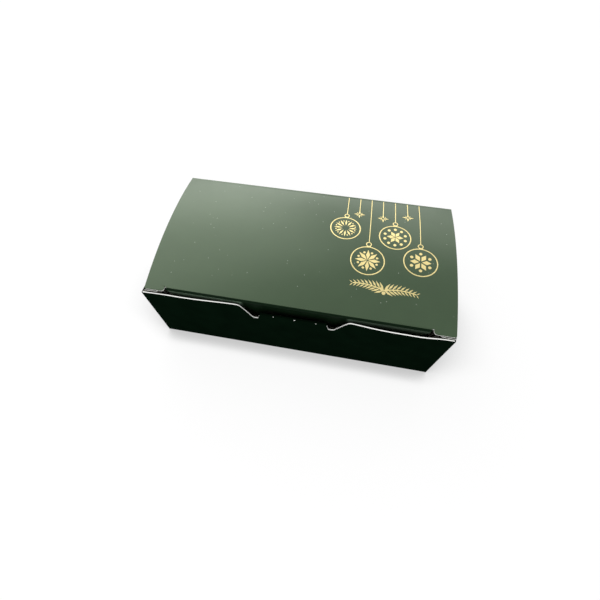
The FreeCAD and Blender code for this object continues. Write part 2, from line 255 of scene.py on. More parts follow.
# Dust specks and the painted reflection: how much of the print they hide and how much they dull it.
SPECK_AND_REFLECTION_SHARE = 0.8
SPECK_AND_REFLECTION_DULLNESS = 0.35
DUST = linear(168, 176, 164)
DUST_CELL = 2.2 * MM
DUST_SIZE_SHARE = 0.085
DUST_CHANCE_SHARE = 0.78
# The tuck flap's band is a painted reflection of the front wall's white inside, in this paler green.
PAINTED_REFLECTION_GREEN = linear(135, 160, 138)
# Each pair says where the painted reflection band starts and where it is full. The right side has the least of it.
REFLECTION_TOP = 41.6 * MM, 41.0 * MM
REFLECTION_FOOT = 33.5 * MM, 39.5 * MM
REFLECTION_START = 23.2 * MM, 25.2 * MM
REFLECTION_SIDES = 45 * MM, -40 * MM
REFLECTION_LEAST = 0.35


def place_on_piece(graph):
    return graph.node("ShaderNodeTexCoord", out="Object")


def noise(graph, size, detail=2.0):
    """Noise whose bumps are about the given size, in metres."""
    sockets = {"Vector": place_on_piece(graph), "Scale": 1 / size, "Detail": detail}
    return graph.node("ShaderNodeTexNoise", None, sockets)


def dust_specks(graph):
    sockets = {"Vector": place_on_piece(graph), "Scale": 1 / DUST_CELL}
    near = graph.node("ShaderNodeTexVoronoi", None, sockets, out="Distance") < DUST_SIZE_SHARE
    colour = graph.node("ShaderNodeTexVoronoi", None, sockets, out="Color")
    luck = graph.node("ShaderNodeSeparateColor", None, {0: colour}) > DUST_CHANCE_SHARE
    return near * luck


def painted_reflection_band(graph):
    """Mask of the painted reflection on the tuck flap, behind the front wall's raw edge beside the notch, most on
    the left.
    """
    spot = place_on_piece(graph)
    x, z = (graph.node("ShaderNodeSeparateXYZ", None, {0: spot}, out=axis) for axis in "XZ")
    below = graph.ramp(z, *REFLECTION_TOP)
    above = graph.ramp(z, *REFLECTION_FOOT)
    side = REFLECTION_LEAST + graph.ramp(x, *REFLECTION_SIDES) * (1 - REFLECTION_LEAST)
    return below * above * graph.ramp(abs(x), *REFLECTION_START) * side


def bumped(graph, height, depth, under=None):
    """Bump of the given depth in metres, on top of another one if it is given."""
    sockets = {"Height": height, "Distance": depth, "Strength": 1.0}
    if under:
        sockets["Normal"] = under
    return graph.node("ShaderNodeBump", None, sockets)


def printed(name, greens, smoothest, constants, specks_and_reflection=None, specks_and_reflection_colour=None):
    """A printed finish from its two shades of green, its lowest roughness, and a mask with its colour that dulls
    it: dust specks on the lid, the painted reflection on the tuck flap.
    """

    def wires(graph):
        colour = graph.mixed(noise(graph, GREEN_PATCH, detail=4.0), *greens)
        rough = smoothest + noise(graph, DULL_PATCH, detail=4.0) * DULL_SPAN
        if specks_and_reflection:
            specks_and_reflection_share = specks_and_reflection(graph) * SPECK_AND_REFLECTION_SHARE
            colour = graph.mixed(specks_and_reflection_share, colour, specks_and_reflection_colour)
            rough = rough + specks_and_reflection_share * SPECK_AND_REFLECTION_DULLNESS
        wave = bumped(graph, noise(graph, WAVE_LENGTH), WAVE_DEPTH)
        tooth = bumped(graph, noise(graph, TOOTH_LENGTH, detail=3.0), TOOTH_DEPTH, wave)
        return {"Base Color": colour, "Roughness": rough, "Normal": tooth}

    return finish_of(name, constants, wires)


SATIN_VARNISH = {"IOR": 1.8, "Specular Tint": (0.86, 1.0, 0.78, 1.0)}
NO_SHEEN = {"Specular IOR Level": 0.0}
FAINT_SHEEN = {"Specular IOR Level": 0.02}
# The lid's finish carries the lit green and the others the shaded greens; the tuck flap's adds the painted
# reflection.
LIT_VARNISHED = printed("lit_varnished_print", LIT_LID_GREENS, LID_ROUGHNESS, SATIN_VARNISH, dust_specks, DUST)
SHADED_MATT = printed("shaded_matt_print", SHADED_WALL_GREENS, WALL_ROUGHNESS, NO_SHEEN)
SHADED_FLAPS = printed("shaded_flap_print", SHADED_FLAP_GREENS, FLAP_ROUGHNESS, FAINT_SHEEN)
TUCK_WITH_REFLECTION = printed("tuck_print_painted_reflection", SHADED_FLAP_GREENS, FLAP_ROUGHNESS, FAINT_SHEEN, painted_reflection_band, PAINTED_REFLECTION_GREEN)

# %% [markdown]
# ## Bare side and cut edge
# The inside is uncoated white board with faint fibres. The knife leaves the core of the board open along
# every cut, a little whiter and rougher than the inside, with pulled fibres.

# %% Bare side and cut edge
BOARD_WHITE = linear(238, 236, 229)
BOARD_SHADE = linear(224, 221, 211)
CORE_WHITE = linear(251, 251, 248)
CORE_SHADE = linear(234, 235, 230)
FIBRE_LENGTH = 1.1 * MM
FIBRE_DEPTH = 0.012 * MM
BARE_ROUGHNESS = 0.8
BARE_PATCH = 3 * MM
BARE_SPAN = 0.12
PULLED_LENGTH = 0.25 * MM
PULLED_DEPTH = 0.02 * MM


def bare_wires(graph):
    fibres = noise(graph, FIBRE_LENGTH, detail=6.0)
    return {
        "Base Color": graph.mixed(fibres, BOARD_SHADE, BOARD_WHITE),
        "Roughness": BARE_ROUGHNESS + noise(graph, BARE_PATCH) * BARE_SPAN,
        "Normal": bumped(graph, fibres, FIBRE_DEPTH),
    }


def core_wires(graph):
    pulled = noise(graph, PULLED_LENGTH, detail=4.0)
    return {
        "Base Color": graph.mixed(pulled, CORE_SHADE, CORE_WHITE),
        "Normal": bumped(graph, pulled, PULLED_DEPTH),
    }


BARE_SIDE = finish_of("bare_side", {"Specular IOR Level": 0.3}, bare_wires)
CUT_EDGE = finish_of("cut_edge", {"Specular IOR Level": 0.2, "Roughness": 0.95}, core_wires)
PRINTED, BARE, CUT = range(3)

# %% [markdown]
# ## Dressing a panel
# A packed panel is a closed slab of board. Each face of a copy gets one of the three finishes by the way
# it points. The knife comes from the printed side and draws a little of the print down over the edge, so
# the printed rim of every cut gets a tiny bevel, and what is left of the cut reads as a thin white line.

# %% Helpers for panels
MERGE = 0.002 * MM
SLIVER = 0.02 * MM
FLAT = math.radians(0.05)
SHARP = math.radians(30)
FACING = 0.7
RIM = 0.1 * MM
RIM_STEPS = 2
NEAR_SIDE = 1.2 * MM
NEAR_RIDGE = 0.45 * MM


def board_copy(node):
    """A copy of a packed panel, with its loose triangles merged and its flat faces made whole."""
    work = bmesh.new()
    work.from_mesh(frame["nodes"][node].data)
    bmesh.ops.remove_doubles(work, verts=work.verts, dist=MERGE)
    bmesh.ops.dissolve_limit(work, angle_limit=FLAT, verts=work.verts, edges=work.edges)
    return work


def slice_evenly(work, across, low, high, step):
    """Cuts the mesh with parallel planes, so that it can be bent smoothly."""
    for i in range(1, math.ceil((high - low) / step)):
        everything = work.verts[:] + work.edges[:] + work.faces[:]
        spot = across * (low + i * step)
        bmesh.ops.bisect_plane(work, geom=everything, dist=SLIVER, plane_co=spot, plane_no=across)
    bmesh.ops.dissolve_degenerate(work, dist=SLIVER, edges=work.edges)


def crease_of(node):
    """Tells which faces of a moving panel lie on the ridge that it turns about."""
    joint = next((joint for joint in frame["joints"] if joint["child"] == BODY_OF[node]), None)

    def on_ridge(face):
        along = Vector(joint["axis"])
        away = (face.calc_center_median() - FOLDS[joint["name"]]).cross(along).length
        return away < NEAR_RIDGE and abs(face.normal.dot(along)) < FACING

    return on_ridge if joint else lambda face: False


def set_finishes(work, printed_sides, bare_sides, joined, on_ridge, box):
    """Chooses each face's finish; a face that goes on into a neighbour along the sheet stays printed."""
    rim = work.edges.layers.float.new("bevel_weight_edge")
    for face in work.faces:
        outward = max(face.normal.dot(side) for side in printed_sides)
        inward = max(face.normal.dot(side) for side in bare_sides)
        if joined(face, box) or outward > FACING:
            face.material_index = PRINTED
        elif inward > FACING:
            face.material_index = BARE
        elif on_ridge(face):
            face.material_index = PRINTED if outward > inward else BARE
        else:
            face.material_index = CUT
    for edge in work.edges:
        kinds = {face.material_index for face in edge.link_faces}
        edge[rim] = float(kinds == {PRINTED, CUT})


def shade_smoothly(mesh):
    mesh.shade_smooth()
    mesh.set_sharp_from_angle(angle=SHARP)


def piece_from(work, name, materials):
    mesh = bpy.data.meshes.new(name)
    work.to_mesh(mesh)
    work.free()
    for material in materials:
        mesh.materials.append(material)
    shade_smoothly(mesh)
    piece = bpy.data.objects.new(name, mesh)
    bpy.context.scene.collection.objects.link(piece)
    return piece


def joined_at(*sides):
    """Tells which faces lie on the given sides of a panel, where the sheet goes on round a corner."""

    def on_side(face, box):
        middle = face.calc_center_median()
        reach = [(box[1] if sum(side) > 0 else box[0]).dot(side) for side in sides]
        return any(abs(middle.dot(side) - far) < NEAR_SIDE and face.normal.dot(side) > FACING
                   for side, far in zip(sides, reach))

    return on_side


def dress(node, print_finish, printed_sides, bare_sides, joined=joined_at(), shaped=None):
    """Replaces a packed panel by a copy with its three finishes; shaped may bend the copy first."""
    work = board_copy(node)
    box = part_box(node)
    if shaped:
        shaped(work, box)
        work.normal_update()
    set_finishes(work, printed_sides, bare_sides, joined, crease_of(node), box)
    piece = piece_from(work, node + "_board", [print_finish, BARE_SIDE, CUT_EDGE])
    rim = piece.modifiers.new("rim", "BEVEL")
    rim.limit_method = "WEIGHT"
    rim.width = RIM
    rim.segments = RIM_STEPS
    rim.use_clamp_overlap = False
    rim.material = PRINTED
    rim.harden_normals = True
    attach(piece, BODY_OF[node])
    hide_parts(node)
    print("dressed:", node, "faces:", len(piece.data.polygons))
    return piece


# %% [markdown]
# ## Front wall
# The front wall's raw top edge is free between the corners and the lock tab, so on the real box it doesn't
# stay straight: it leans in beside the notch and bellies out further along, most on the right. The copy is
# sliced into a grid and bent by a few soft humps that die away towards the bottom fold, the corners and the
# lock tab. Both front corners have spread at the top, the left one more, and the end walls there spread
# with them.

# %% Front wall
GRID = 2.6 * MM
# How far the top of the left and the right front corner has moved.
SPREADS = Vector((-1.15, -0.45, 0)) * MM, Vector((0.0, -0.15, 0)) * MM
SPREAD_REACH = 14 * MM
BOW_FOOT = 10 * MM
# Middle along the front, half width and lean inwards of each hump.
WALL_HUMPS = [
    (-46 * MM, 20 * MM, -0.35 * MM),
    (-27 * MM, 17 * MM, 0.75 * MM),
    (24 * MM, 9 * MM, 0.5 * MM),
    (46 * MM, 17 * MM, -0.85 * MM),
    (60 * MM, 7 * MM, -0.5 * MM),
]
# The half stretch at the lock tab that stays straight, and the lengths over which the bend sets in.
TAB_STILL = 16 * MM
TAB_FADE = 8 * MM
END_FADE = 16 * MM


def smooth(share):
    share = min(max(share, 0.0), 1.0)
    return share * share * (3 - 2 * share)


CORNERS = [Vector((end.x, CAD_BOX[0].y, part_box("front_wall")[1].z)) for end in CAD_BOX]


def spread_corners(work, box):
    """Slices a wall into a grid and moves what is near a front corner outwards, most at the top."""
    for axis, across in enumerate((RIGHT, BACK, UP)):
        slice_evenly(work, across, box[0][axis], box[1][axis], GRID)
    for vert in work.verts:
        on_right = vert.co.x > 0
        away = vert.co - CORNERS[on_right]
        near = smooth(1 - away.xy.length / SPREAD_REACH)
        vert.co += SPREADS[on_right] * near * vert.co.z / CORNERS[on_right].z


def bend_front_wall(work, box):
    spread_corners(work, box)
    high = box[1]
    for vert in work.verts:
        rise = smooth((vert.co.z - BOW_FOOT) / (high.z - BOW_FOOT))
        aside = abs(vert.co.x)
        free = smooth((aside - TAB_STILL) / TAB_FADE) * smooth((high.x - aside) / END_FADE)
        lean = sum(deep * math.exp(-((vert.co.x - spot) / wide) ** 2) for spot, wide, deep in WALL_HUMPS)
        vert.co.y += rise * free * lean


dress("front_wall", SHADED_MATT, [FRONT, DOWN], [BACK], joined_at(LEFT, RIGHT), bend_front_wall)

# %% [markdown]
# ## The other walls and the bottom
# The back wall and the bottom's flaps lie flat, and the end walls only follow the spread corners. The end
# walls wrap round the upright corners, so their narrow front and back faces are printed too. The bottom's
# flaps show their bare side inside the box.

# %% Walls and bottom
dress("back_wall", SHADED_MATT, [BACK, DOWN, UP], [FRONT], joined_at(LEFT, RIGHT))
dress("left_end_wall", SHADED_MATT, [LEFT, FRONT, BACK, DOWN, UP], [RIGHT], shaped=spread_corners)
dress("right_end_wall", SHADED_MATT, [RIGHT, FRONT, BACK, DOWN, UP], [LEFT], shaped=spread_corners)
dress("seam_flap", SHADED_MATT, [BACK], [FRONT], joined_at(LEFT))
dress("bottom_front_flap", SHADED_MATT, [DOWN], [UP], joined_at(FRONT))
dress("bottom_back_flap", SHADED_MATT, [DOWN], [UP], joined_at(BACK))
for side in ("front", "back"):
    dress(f"bottom_{side}_glue_ear", SHADED_MATT, [DOWN], [UP])
for side, wall in (("left", LEFT), ("right", RIGHT)):
    dress(f"bottom_{side}_flap", SHADED_MATT, [DOWN], [UP], joined_at(wall))

# %% [markdown]
# ## Lid
# The lid is bowed: its printed side is part of a cylinder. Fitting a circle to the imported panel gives
# that cylinder, which the foil will need as well. The copy is sliced across and its points are set back
# onto the true circle, so that reflections run over it without facets.

# %% The lid's bow
HINGE = FOLDS["lid_hinge"]
FOLD = FOLDS["tuck_flap_fold"]
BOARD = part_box("back_wall")[1].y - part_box("back_wall")[0].y
LID_STEP = 1.5 * MM
NEAR_BOW = 0.12 * MM
SLIT_ROOM = 4 * MM


def bow_of_lid():
    """Centre along Y and Z and radius of the circle that the lid's printed side follows."""
    mesh = frame["nodes"]["lid_panel"].data
    tops = {i for face in mesh.polygons if face.normal.z > FACING for i in face.vertices}
    spots = [mesh.vertices[i].co for i in tops]
    y, z = np.array([spot[1:] for spot in spots if spot.y < HINGE.y - BOARD]).T
    terms = np.column_stack((2 * y, 2 * z, np.ones_like(y)))
    centre_y, centre_z, rest = np.linalg.lstsq(terms, y * y + z * z, rcond=None)[0]
    return Vector((0, centre_y, centre_z)), math.sqrt(rest + centre_y ** 2 + centre_z ** 2)


BOW_CENTRE, BOW_RADIUS = bow_of_lid()
print("bow radius:", round(BOW_RADIUS / MM, 1), "mm")


def bow_normal(spot):
    return ((spot - BOW_CENTRE) * Vector((0, 1, 1))).normalized()


def round_lid(work, box):
    slice_evenly(work, BACK, FOLD.y, HINGE.y - BOARD, LID_STEP)
    for vert in work.verts:
        if vert.co.y > HINGE.y - BOARD:
            continue
        outward = (vert.co - BOW_CENTRE) * Vector((0, 1, 1))
        for radius in (BOW_RADIUS, BOW_RADIUS - BOARD):
            if abs(outward.length - radius) < NEAR_BOW:
                vert.co += outward * (radius / outward.length - 1)


def beside_fold(face, box):
    """The side of each corner slit where the sheet turns down into the tuck flap."""
    middle = face.calc_center_median()
    turned_out = face.normal.x * math.copysign(1, middle.x) > FACING / 2
    return turned_out and abs(middle.x) < box[1].x - NEAR_SIDE and middle.y < FOLD.y + SLIT_ROOM


dress("lid_panel", LIT_VARNISHED, [UP, BACK], [DOWN], beside_fold, round_lid)

# %% [markdown]
# ## Flaps
# The tuck flap leans in behind the front wall, so its printed side faces forwards and slightly down. The
# dust flaps fold in under the lid with their printed side up. The lock tab is hemmed back inside the front
# wall.

# %% Flaps
def tuck_outward():
    """The way the tuck flap's printed side faces, from where its lower edge hangs."""
    low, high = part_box("lid_tuck_flap")
    hang = Vector((0, high.y - BOARD / 2, low.z)) - FOLD
    return hang.cross(RIGHT).normalized()


TUCK_OUT = tuck_outward()
dress("lid_tuck_flap", TUCK_WITH_REFLECTION, [TUCK_OUT, UP], [-TUCK_OUT])
dress("left_dust_flap", SHADED_FLAPS, [UP, LEFT], [DOWN])
dress("right_dust_flap", SHADED_FLAPS, [UP, RIGHT], [DOWN])
dress("front_lock_tab", SHADED_MATT, [BACK, UP], [FRONT])
print("tuck flap faces:", [round(part, 3) for part in TUCK_OUT])

# %% [markdown]
# ## Glue
# Three spots of dried white glue close the seam and the bottom. They lie between two layers of board, out
# of sight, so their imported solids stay, with a plain cloudy finish.

# %% Glue
GLUE_COLOURS = linear(226, 218, 196), linear(240, 236, 222)
GLUE_CLOUD = 4 * MM


def glue_wires(graph):
    return {"Base Color": graph.mixed(noise(graph, GLUE_CLOUD, detail=3.0), *GLUE_COLOURS)}


GLUE = finish_of("dried_glue", {"Roughness": 0.35}, glue_wires)
for node in frame["record"]["physics"]["no_collision_nodes"]:
    frame["nodes"][node].material_slots[0].material = GLUE

# %% [markdown]
# ## Folds
# A crease is the same sheet going round a corner, so the print must run over it without a gap. Each working
# fold gets a thin printed strip round its ridge, from a tail on one panel round to a tail on the other. The
# strip is made where the fold lies now and isn't tied to either panel.

# %% Folds
RIDGE = 0.4 * MM
STRIP = 0.14 * MM
TAIL_END = 0.28 * MM
SHORT_TAIL = 0.9 * MM
LID_TAIL = 0.6 * MM
FOLD_STEPS = 10


def fold_section(spot, along, sides, tails):
    """Outer and inner points of the strip, from one panel's tail, round the ridge, to the other tail."""
    first, last = sides
    turn = math.atan2(along.dot(first.cross(last)), first.dot(last))
    way = math.copysign(1.0, turn)
    tail_first = along.cross(first) * -way * tails[0]
    tail_last = along.cross(last) * way * tails[1]
    turns = [turn * i / FOLD_STEPS for i in range(FOLD_STEPS + 1)]
    round_part = [Matrix.Rotation(angle, 3, along) @ first for angle in turns]

    def tail(run, normal, drop):
        heights = ((1.0, TAIL_END), (0.5, (RIDGE + TAIL_END) / 2))
        return [spot + run * share + normal * (height - drop) for share, height in heights]

    def loop(drop):
        ridge = [spot + normal * (RIDGE - drop) for normal in round_part]
        return tail(tail_first, first, drop) + ridge + tail(tail_last, last, drop)[::-1]

    return loop(0.0), loop(STRIP)


def fold_strip(name, finish, joint, along, reach, sides, tails=(SHORT_TAIL, SHORT_TAIL)):
    """A printed strip over a working fold; reach gives its two ends, sides the two ways it faces."""
    spot = FOLDS[joint["name"]]
    first, last = sides
    outer, inner = fold_section(spot, along, sides, tails)
    work = bmesh.new()
    ring = outer + inner[::-1]
    rows = []
    for end in reach:
        rows.append([work.verts.new(point + along * (end - point.dot(along))) for point in ring])
    count = len(ring)
    for i in range(count):
        after = (i + 1) % count
        face = work.faces.new((rows[0][i], rows[0][after], rows[1][after], rows[1][i]))
        face.material_index = int(i >= len(outer))
    for row in rows:
        for i in range(len(outer) - 1):
            work.faces.new((row[i], row[i + 1], row[count - 2 - i], row[count - 1 - i]))
    bmesh.ops.recalc_face_normals(work, faces=work.faces)
    strip = piece_from(work, name, [finish, BARE_SIDE])
    spot + first * RIDGE
    spot + last * RIDGE
    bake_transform(strip)
    print("fold:", name)


JOINTS = {joint["name"]: joint for joint in frame["joints"]}


def reach_of(node, axis):
    low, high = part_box(node)
    return low[axis], high[axis]


lid_reach, tuck_reach, tab_reach = (
    reach_of(node, 0) for node in ("back_wall", "lid_tuck_flap", "front_lock_tab"))
fold_strip("lid_hinge_fold", LIT_VARNISHED, JOINTS["lid_hinge"], RIGHT, lid_reach,
           (BACK, bow_normal(HINGE)))
fold_strip("tuck_fold", SHADED_FLAPS, JOINTS["tuck_flap_fold"], RIGHT, tuck_reach,
           (bow_normal(FOLD), TUCK_OUT), (LID_TAIL, SHORT_TAIL))
fold_strip("lock_tab_hem_fold", SHADED_MATT, JOINTS["lock_tab_fold"], RIGHT, tab_reach, (FRONT, UP))
for side, out in (("left", LEFT), ("right", RIGHT)):
    joint = JOINTS[f"{side}_dust_flap_fold"]
    fold_strip(f"{side}_dust_fold", SHADED_FLAPS, joint, BACK, reach_of(f"{side}_dust_flap", 1), (out, UP))

# %% [markdown]
# ## Gold foil
# The lid carries a hot-stamped foil design: ornaments that hang on strings from the back fold, and a
# sprig. Foil is a metal film a few hundredths of a millimetre thick that follows the bow. One geometry tree
# draws an ornament flat, with its rays and dots as instances round a ring, and lays it onto the lid's
# cylinder. Every ornament is the same tree with other numbers.

# %% Foil finish
FOIL_GOLDS = linear(240, 220, 148), linear(250, 235, 176)
RUB_PATCH = 2.2 * MM
FOIL_ROUGHNESS = 0.38
FOIL_SPAN = 0.16
GRAIN_LENGTH = 0.5 * MM
GRAIN_DEPTH = 0.004 * MM


def foil_wires(graph):
    rub = noise(graph, RUB_PATCH, detail=5.0)
    return {
        "Base Color": graph.mixed(rub, *FOIL_GOLDS),
        "Roughness": FOIL_ROUGHNESS + rub * FOIL_SPAN,
        "Normal": bumped(graph, noise(graph, GRAIN_LENGTH, detail=3.0), GRAIN_DEPTH),
    }


FOIL = finish_of("gold_foil", {"Metallic": 1.0}, foil_wires)

# %% Helpers for geometry trees
# The foil lies as far under the lid's printed side as it stands out over it.
FOIL_LIFT = 0.03 * MM
TUBE_SIDES = 8


def geometry_tree(name, inputs):
    """A tree with named number inputs; returns its graph and a wire for each input."""
    tree = bpy.data.node_groups.new(name, "GeometryNodeTree")
    kinds = {int: "NodeSocketInt", float: "NodeSocketFloat"}
    for label, value in inputs.items():
        tree.interface.new_socket(label, in_out="INPUT", socket_type=kinds[type(value)])
    tree.interface.new_socket("Geometry", in_out="OUTPUT", socket_type="NodeSocketGeometry")
    graph = Graph(tree)
    source = tree.nodes.new("NodeGroupInput")
    return graph, {label: Wire(graph, source.outputs[label]) for label in inputs}


def vector(graph, x=0.0, y=0.0, z=0.0):
    return graph.node("ShaderNodeCombineXYZ", None, {"X": x, "Y": y, "Z": z})


def moved(graph, geometry, **how):
    return graph.node("GeometryNodeTransform", None, {"Geometry": geometry, **how})


def circle(graph, radius, steps):
    sockets = {"Resolution": steps, "Radius": radius}
    return graph.node("GeometryNodeCurvePrimitiveCircle", None, sockets)


def tube(graph, curve, width):
    """A round tube along a curve; it is pressed flat later, so its section needs no turning."""
    sockets = {"Curve": curve, "Profile Curve": circle(graph, width / 2, TUBE_SIDES), "Fill Caps": True}
    return graph.node("GeometryNodeCurveToMesh", None, sockets)


def plate(graph, corners, length, width):
    """A flat closed plate of foil: four corners give a pointed lozenge and more give a disc."""
    sockets = {"Vertices": corners, "Radius": 0.5, "Depth": 1.0}
    unit = graph.node("GeometryNodeMeshCylinder", None, sockets)
    return moved(graph, unit, Scale=vector(graph, length, width, FOIL_LIFT * 2))


def turned_to(graph, way):
    return graph.node("FunctionNodeAlignRotationToVector", {"axis": "X"}, {"Vector": way})


def ring_of(graph, shape, count, radius, first_turn=0.0):
    """Copies of a shape round a ring, each turned to point outwards."""
    points = graph.node("GeometryNodeMeshCircle", None, {"Vertices": count, "Radius": radius})
    points = moved(graph, points, Rotation=vector(graph, z=first_turn))
    facing = turned_to(graph, graph.node("GeometryNodeInputPosition"))
    sockets = {"Points": points, "Instance": shape, "Rotation": facing}
    return graph.node("GeometryNodeInstanceOnPoints", None, sockets)


def handed_out(graph, geometry, material):
    """Gives the tree's geometry its material and makes it the tree's output."""
    geometry = graph.node("GeometryNodeSetMaterial", None, {"Geometry": geometry, "Material": material})
    end = graph.tree.nodes.new("NodeGroupOutput")
    graph.feed(end.inputs["Geometry"], geometry)


def laid_on_lid(graph, drawing, material):
    """Presses a flat drawing to the foil's thickness and bends it round the lid's bow."""
    art = graph.node("GeometryNodeRealizeInstances", None, {"Geometry": drawing})
    spot = graph.node("GeometryNodeInputPosition")
    x, y, z = (graph.node("ShaderNodeSeparateXYZ", None, {0: spot}, out=axis) for axis in "XYZ")
    high = z.maths("MINIMUM", z, FOIL_LIFT)
    high = high.maths("MAXIMUM", high, -FOIL_LIFT)
    angle = y / BOW_RADIUS
    reach = high + BOW_RADIUS
    across = reach * angle.maths("SINE", angle) + BOW_CENTRE.y
    up = reach * angle.maths("COSINE", angle) + BOW_CENTRE.z
    bent = {"Geometry": art, "Position": vector(graph, x, across, up)}
    handed_out(graph, graph.node("GeometryNodeSetPosition", None, bent), material)


def made_by(graph, name, values):
    """Runs a tree once with the given input values and returns the plain mesh piece."""
    host = bpy.data.objects.new(name, bpy.data.meshes.new(name + "_seed"))
    bpy.context.scene.collection.objects.link(host)
    run = host.modifiers.new("tree", "NODES")
    run.node_group = graph.tree
    for socket in graph.tree.interface.items_tree:
        if socket.in_out == "INPUT":
            run[socket.identifier] = values[socket.name]
    shown = host.evaluated_get(bpy.context.evaluated_depsgraph_get())
    mesh = bpy.data.meshes.new_from_object(shown)
    host.modifiers.clear()
    host.data = mesh
    shade_smoothly(mesh)
    print("tree:", name, "faces:", len(mesh.polygons))
    return host


# %% [markdown]
# An ornament is a ring with a cap, a loop and a string. Its inside is a ring of pointed rays and a ring of
# dots, so stars, sunbursts and wreaths all come from the counts and sizes.

# %% Ornament tree
STRING = 0.34 * MM
# Loop and cap are shares of the ring's radius; the cap's height and the loop's line are shares of its line.
LOOP_SHARE = 0.15
CAP_SHARE = 0.34
CAP_LINES = 2.0
LOOP_LINE_SHARE = 0.8
CORNERS_OF_RAY = 4
CORNERS_OF_DOT = 14
RING_STEPS, LOOP_STEPS, STRING_STEPS = 72, 20, 24

ORNAMENT_INPUTS = {
    "Across": 0.0, "Along": 0.0, "Top": 0.0, "Radius": 0.0, "Line": 0.0,
    "Rays": 8, "Ray middle": 0.0, "Ray length": 0.0, "Ray width": 0.0,
    "Dots": 8, "Dot ring": 0.0, "Dot size": 0.0,
}


def hanger(graph, given):
    """The cap, the loop and the string of an ornament whose middle is at zero."""
    radius, line = given["Radius"], given["Line"]
    cap = moved(graph, plate(graph, CORNERS_OF_RAY, 1.0, 1.0), Rotation=(0, 0, math.pi / 4))
    cap_size = vector(graph, radius * CAP_SHARE, line * CAP_LINES, 1.0)
    cap = moved(graph, cap, Scale=cap_size, Translation=vector(graph, 0.0, radius + line * 0.5))
    loop_radius = radius * LOOP_SHARE
    loop_middle = radius + line + loop_radius
    loop = tube(graph, circle(graph, loop_radius, LOOP_STEPS), line * LOOP_LINE_SHARE)
    loop = moved(graph, loop, Translation=vector(graph, 0.0, loop_middle))
    ends = {
        "Start": vector(graph, 0.0, loop_middle + loop_radius),
        "End": vector(graph, 0.0, given["Top"] - given["Along"]),
    }
    string = graph.node("GeometryNodeCurvePrimitiveLine", None, ends)
    string = graph.node("GeometryNodeResampleCurve", None, {"Curve": string, "Count": STRING_STEPS})
    return [cap, loop, tube(graph, string, STRING)]


def ornament_tree():
    graph, given = geometry_tree("hanging_ornament", ORNAMENT_INPUTS)
    ring = tube(graph, circle(graph, given["Radius"], RING_STEPS), given["Line"])
    ray = plate(graph, CORNERS_OF_RAY, given["Ray length"], given["Ray width"])
    rays = ring_of(graph, ray, given["Rays"], given["Ray middle"])
    dot = plate(graph, CORNERS_OF_DOT, given["Dot size"], given["Dot size"])
    dots = ring_of(graph, dot, given["Dots"], given["Dot ring"], math.pi / given["Dots"])
    parts = [ring, rays, dots, *hanger(graph, given)]
    whole = graph.node("GeometryNodeJoinGeometry", None, {"Geometry": parts})
    whole = moved(graph, whole, Translation=vector(graph, given["Across"], given["Along"]))
    laid_on_lid(graph, whole, FOIL)
    return graph


ORNAMENTS = ornament_tree()
print("ornament tree nodes:", len(ORNAMENTS.tree.nodes))

# %% Ornaments
LINE = 0.5 * MM
STRING_GAP = 0.6 * MM


def along_bow(y):
    """Distance along the lid's curve from the top of the bow to a place at Y."""
    return BOW_RADIUS * math.asin((y - BOW_CENTRE.y) / BOW_RADIUS)


STRING_TOP = along_bow(HINGE.y - STRING_GAP)


def ornament(name, across, along, radius, rays, ray_shares, dots, dot_shares, line=LINE):
    """Stamps one ornament. Shares of its radius: rays' middle, length and width; dots' ring and size."""
    middle, length, width = (share * radius for share in ray_shares)
    ring, size = (share * radius for share in dot_shares)
    values = {
        "Across": across, "Along": along, "Top": STRING_TOP, "Radius": radius, "Line": line,
        "Rays": rays, "Ray middle": middle, "Ray length": length, "Ray width": width,
        "Dots": dots, "Dot ring": ring, "Dot size": size,
    }
    piece = made_by(ORNAMENTS, name, values)
    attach(piece, "lid")


ornament("sunburst_ornament", across=17.5 * MM, along=13 * MM, radius=7.2 * MM,
         rays=12, ray_shares=(0.5, 0.56, 0.14), dots=12, dot_shares=(0.66, 0.1))
ornament("star_ornament", across=29.5 * MM, along=-5 * MM, radius=7.7 * MM,
         rays=8, ray_shares=(0.4, 0.72, 0.24), dots=8, dot_shares=(0.6, 0.15))
ornament("wreath_ornament", across=41.5 * MM, along=11 * MM, radius=7.4 * MM,
         rays=6, ray_shares=(0.28, 0.5, 0.25), dots=10, dot_shares=(0.68, 0.2))
ornament("rosette_ornament", across=53.5 * MM, along=-2 * MM, radius=7.6 * MM,
         rays=6, ray_shares=(0.36, 0.56, 0.3), dots=6, dot_shares=(0.62, 0.2))
SMALL_STARS = ((23.6 * MM, 24 * MM), (35.4 * MM, 23 * MM), (47.6 * MM, 26 * MM))
for number, (across, along) in enumerate(SMALL_STARS, 1):
    ornament(f"small_star_{number}", across, along, radius=0.9 * MM, rays=4, ray_shares=(1.7, 2.9, 0.8),
             dots=4, dot_shares=(1.7, 0.5), line=LINE / 2)

# %% [markdown]
# ## Sprig
# In front of the ornaments lies a stamped sprig: an arched stem, needles in pairs that get shorter towards
# the tip, and berries in the middle. The needles are instances along the stem's curve, turned by its
# direction.

# %% Sprig
SPRIG_INPUTS = {
    "Across": 0.0, "Along": 0.0, "Tilt": 0.0, "Reach": 0.0, "Droop": 0.0, "Line": 0.0,
    "Needles": 9, "Needle length": 0.0, "Needle width": 0.0, "Splay": 0.0, "Berry": 0.0,
}
TIP_SHARE = 0.45
TIP_DROOP_SHARE = 0.4
STEM_STEPS = 20
BERRIES = 3
BERRY_RING_SHARE = 0.75


